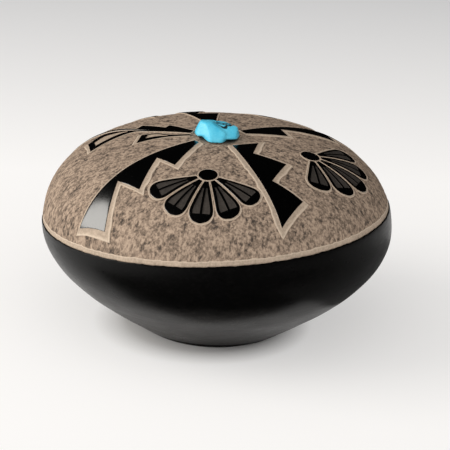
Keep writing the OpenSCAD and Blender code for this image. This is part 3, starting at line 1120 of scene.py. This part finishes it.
def makeStone():
    low, high = stone["footLevels"]
    bpy.ops.mesh.primitive_cylinder_add(vertices=stone["footSides"], radius=stone["footRadius"] * mm,
                                        depth=(high - low) * mm)
    foot = bpy.context.active_object
    setPlaces(foot, getPlaces(foot) + [0, 0, (low + high) / 2])
    setMark(foot, "matrix", np.zeros(len(foot.data.vertices)))
    bpy.ops.mesh.primitive_ico_sphere_add(subdivisions=stone["rounds"], radius=1)
    piece = bpy.context.active_object
    piece.name = "turquoise_nugget"
    way = getPlaces(piece)
    way /= np.linalg.norm(way, axis=1)[:, None]
    reach = np.full(len(way), stone["outside"])
    for closing in range(stone["closings"]):
        reach -= outsideStone(way * reach[:, None] + stone["middle"])
    points = way * reach[:, None] + stone["middle"]
    # Cloud of dark matrix behind the right lump's front edge, and one open vein that widens at its pit
    x, y, z = points.T
    front, frontFade = stone["cloudFront"]
    back, backFade = stone["cloudBack"]
    left, leftFade = stone["cloudLeft"]
    cloud = np.clip((y - front) / frontFade, 0, 1) * np.clip((back - y) / backFade, 0, 1)
    cloud *= np.clip((x - left) / leftFade, 0, 1)
    thin, wide = stone["veinHalf"]
    pit = np.linalg.norm(points[:, :2] - stone["pitAt"], axis=1) / stone["pitReach"]
    half = thin + (wide - thin) * np.exp(-pit ** 2) + stone["veinWaver"] * np.sin(5 * x) * np.sin(4 * y)
    vein = np.exp(-(farFromLine(points[:, :2], stone["vein"]) / half) ** 2)
    vein *= z > stone["middle"][2]
    points[:, 2] -= stone["veinDepth"] * vein
    setPlaces(piece, points)
    setMark(piece, "matrix", np.maximum(stone["cloudDark"] * cloud, vein))
    foot.select_set(True)
    bpy.ops.object.join()
    piece.data.materials.append(turquoiseFinish)
    bpy.ops.object.shade_smooth_by_angle(angle=math.radians(stone["crease"]))
    seat(piece, "turquoise")
    print("stone:", len(piece.data.polygons), "faces")


makeStone()

# Adhesive in the seat, squeezed out round the stone's foot and smeared towards the front on both sides (a
# turn and a length each); its dark there also paints the shadow under the stone's overhangs. It thins out
# over
# the clay: a share of the way and a depth under the skin.
bed = {
    "segments": 160,
    "inner": 2.45,
    "outer": 3.78,
    "bottom": 41.32,
    "level": 42.2,
    "topRings": 6,
    "dome": 0.1,
    "uneven": 0.04,
    "unevenWaves": ((2, 5, 9), (0.4, 2.0, 1.2)),
    "spread": 0.45,
    "unevenSpread": 0.25,
    "smears": ((-46, 1.7), (26, 1.5)),
    "smearHalf": 0.5,
    "seatGap": (0.1, 0.05),
    "thinning": ((0.15, 0.17), (0.4, 0.16), (0.65, 0.18), (0.85, 0.22), (0.95, 0.28), (1.0, 0.36)),
    "crease": 50,
}


def makeBed():
    turn = turnsRound(bed["segments"])
    uneven = handWave(turn, *bed["unevenWaves"])
    spread = bed["spread"] + bed["unevenSpread"] * uneven
    for at, smear in bed["smears"]:
        away = (turn - math.radians(at) + math.pi) % (2 * math.pi) - math.pi
        spread = spread + smear * np.exp(-(away / bed["smearHalf"]) ** 2)
    inner, outer, low, level, dome = (bed[k] for k in ("inner", "outer", "bottom", "level", "dome"))
    upperGap, lowerGap = bed["seatGap"]
    rings, rims = [], []

    def addRing(r, z, rim):
        rings.append(levelRing(r, z, turn))
        rims.append(np.full(len(turn) + 1, rim))

    addRing(inner, low, 0)
    addRing(inner, level - dome, 0)
    for f in np.linspace(0.1, 1, bed["topRings"]):
        addRing(inner + f * (outer - inner), level + dome * f + bed["uneven"] * uneven, 0)
    # Over the edge of the seat, thinning out on the clay
    for f, depth in bed["thinning"]:
        r = outer + upperGap + f * spread
        z = np.interp(alongAtRadius(r), profile["along"], profile["z"])
        addRing(r, z - depth + bed["uneven"] * uneven * (1 - f), f ** 3)
    addRing(outer + lowerGap, level - 2 * dome, 1)
    addRing(outer, low, 1)
    addRing(inner, low, 0)
    piece = loftRings("setting_bed_poured", rings)
    setMark(piece, "rim", rims)
    piece.data.materials.append(adhesiveFinish)
    closeSeams(piece)
    bpy.ops.object.shade_smooth_by_angle(angle=math.radians(bed["crease"]))
    seat(piece, "setting_bed")
    print("setting bed:", len(piece.data.polygons), "faces")


makeBed()

# Studio, metres: pale floor with painted shade that darkens it far behind the pot, soft panel on the left,
# tent of light that is brightest at the front left and that the polish does not show, dark cards that only
# the polish shows. The places of the floor's far part and of its glow are millimetres.
studio = {
    "floorSize": 4.0,
    "floor": (0.90, 0.89, 0.88),
    "farFloorShade": (0.57, 0.57, 0.575),
    "farFrom": 90,
    "farReach": 170,
    "glow": 1.33,
    "glowShare": 0.4,
    "glowFrom": 16.5,
    "glowReach": 7.5,
    "glowMiddle": (-2.5, -2.8, 0.0),
    "panelAt": (-0.993, -0.06, 0.50),
    "panelAim": (0, 0, 0.025),
    "panelSize": (0.82, 0.80),
    "panelPower": 7.6,
    "panelTint": (1.0, 0.97, 0.92),
    "tentFrom": (-0.42, -0.88, -0.2),
    "tentBright": (1.42, 1.4, 1.38),
    "tentDim": (0.12, 0.12, 0.12),
    "cards": (
        {"name": "back_card", "at": (0.05, 0.15, 0.075), "size": (0.8, 0.15),
         "upright": True, "level": 0.002},
        {"name": "front_card", "at": (0.115, -0.363, 0.001), "size": (0.38, 0.666),
         "upright": False, "level": 0.02},
        {"name": "side_card", "at": (0.1585, -0.007, 0.001), "size": (0.259, 0.104),
         "upright": False, "level": 0.33},
    ),
}


def makeFloor():
    bpy.ops.mesh.primitive_plane_add(size=studio["floorSize"])
    floor = bpy.context.active_object
    floor.name = "floor"
    finish, w, shader = newFinish("paleFloor", {"Specular IOR Level": 0.1, "Roughness": 0.6})
    behind = w.node("SeparateXYZ", {}, {0: w.places()}, 1)
    # Painted shade: the floor darkens far behind the pot
    far = ((behind - studio["farFrom"]) / studio["farReach"]).clip()
    shade = w.blend(far, tone(*studio["floor"]), tone(*studio["farFloorShade"]))
    feed(shader, {"Base Color": shade})
    # Away from the foot, a little glow lightens the floor in the picture and in the polish, not on the pot
    glow = w.node("Emission", {}, {"Color": shade, "Strength": studio["glow"]})
    kinds = ("Is Camera Ray", "Is Glossy Ray", "Is Transmission Ray")
    direct, glossy, throughGlass = (w.node("LightPath", {}, {}, kind) for kind in kinds)
    away = w.node("VectorMath", {"operation": "DISTANCE"}, {0: w.places(), 1: studio["glowMiddle"]}, 1)
    beyond = ((away - studio["glowFrom"]) / studio["glowReach"]).clip()
    share = (direct + glossy + throughGlass) * beyond * studio["glowShare"]
    mixed = w.node("MixShader", {}, {0: share, 1: Wire(w.tree, shader.outputs[0]), 2: glow})
    feed(finish.node_tree.nodes["Material Output"], {"Surface": mixed})
    floor.data.materials.append(finish)


def makePanel():
    bpy.ops.object.light_add(type="AREA", location=studio["panelAt"])
    lamp = bpy.context.active_object
    lamp.name = "panel"
    lamp.data.shape = "RECTANGLE"
    lamp.data.size, lamp.data.size_y = studio["panelSize"]
    lamp.data.energy = studio["panelPower"]
    lamp.data.color = studio["panelTint"]
    aim = Vector(studio["panelAim"]) - Vector(studio["panelAt"])
    lamp.rotation_euler = aim.to_track_quat("-Z", "Y").to_euler()


def makeWorld():
    world = bpy.data.worlds.new("studioRoom")
    bpy.context.scene.world = world
    world.use_nodes = True
    w = Wire(world.node_tree)
    way = w.node("TexCoord")
    lean = w.node("VectorMath", {"operation": "DOT_PRODUCT"}, {0: way, 1: studio["tentFrom"]}, 1)
    shade = w.blend(lean * 0.5 + 0.5, tone(*studio["tentDim"]), tone(*studio["tentBright"]))
    feed(world.node_tree.nodes["Background"], {"Color": shade})
    world.cycles_visibility.glossy = False


def makeCard(card):
    tip = math.pi / 2 * card["upright"]
    bpy.ops.mesh.primitive_plane_add(size=1, location=card["at"], rotation=(tip, 0, 0))
    piece = bpy.context.active_object
    piece.name = card["name"]
    piece.scale = (*card["size"], 1)
    grey = tone(*[card["level"]] * 3)
    finish = newFinish(card["name"], {"Base Color": grey, "Specular IOR Level": 0.0})[0]
    piece.data.materials.append(finish)
    piece.visible_camera = False
    piece.visible_diffuse = False
    piece.visible_shadow = False


def makeStudio():
    makeFloor()
    for card in studio["cards"]:
        makeCard(card)
    makePanel()
    makeWorld()
    bpy.context.scene.view_settings.view_transform = "Standard"


makeStudio()

# Camera, millimetres and degrees: distance and height of the point it looks at, how far it moves to the right
# and up from there, and its focal length in pixels of the picture
eye = {
    "distance": 608,
    "aimHeight": 20,
    "elevation": 21,
    "roll": 2.13,
    "right": 1.85,
    "up": 1.46,
    "focalPixels": 2792,
    "picturePixels": 450,
    "sensor": 36,
}


def makeCamera():
    bpy.ops.object.camera_add()
    camera = bpy.context.active_object
    camera.name = "camera"
    rise = math.radians(eye["elevation"])
    back = Vector((0, -math.cos(rise), math.sin(rise)))
    facing = Matrix((Vector((1, 0, 0)), Vector((0, math.sin(rise), math.cos(rise))), back)).transposed()
    facing = facing @ Matrix.Rotation(math.radians(eye["roll"]), 3, "Z")
    shift = facing @ Vector((eye["right"], eye["up"], eye["distance"]))
    place = (Vector((0, 0, eye["aimHeight"])) + shift) * mm
    camera.matrix_world = Matrix.Translation(place) @ facing.to_4x4()
    camera.data.sensor_width = eye["sensor"]
    camera.data.lens = eye["sensor"] * eye["focalPixels"] / eye["picturePixels"]
    camera.data.clip_start = 0.01
    bpy.context.scene.camera = camera


makeCamera()
print("studio and camera set")
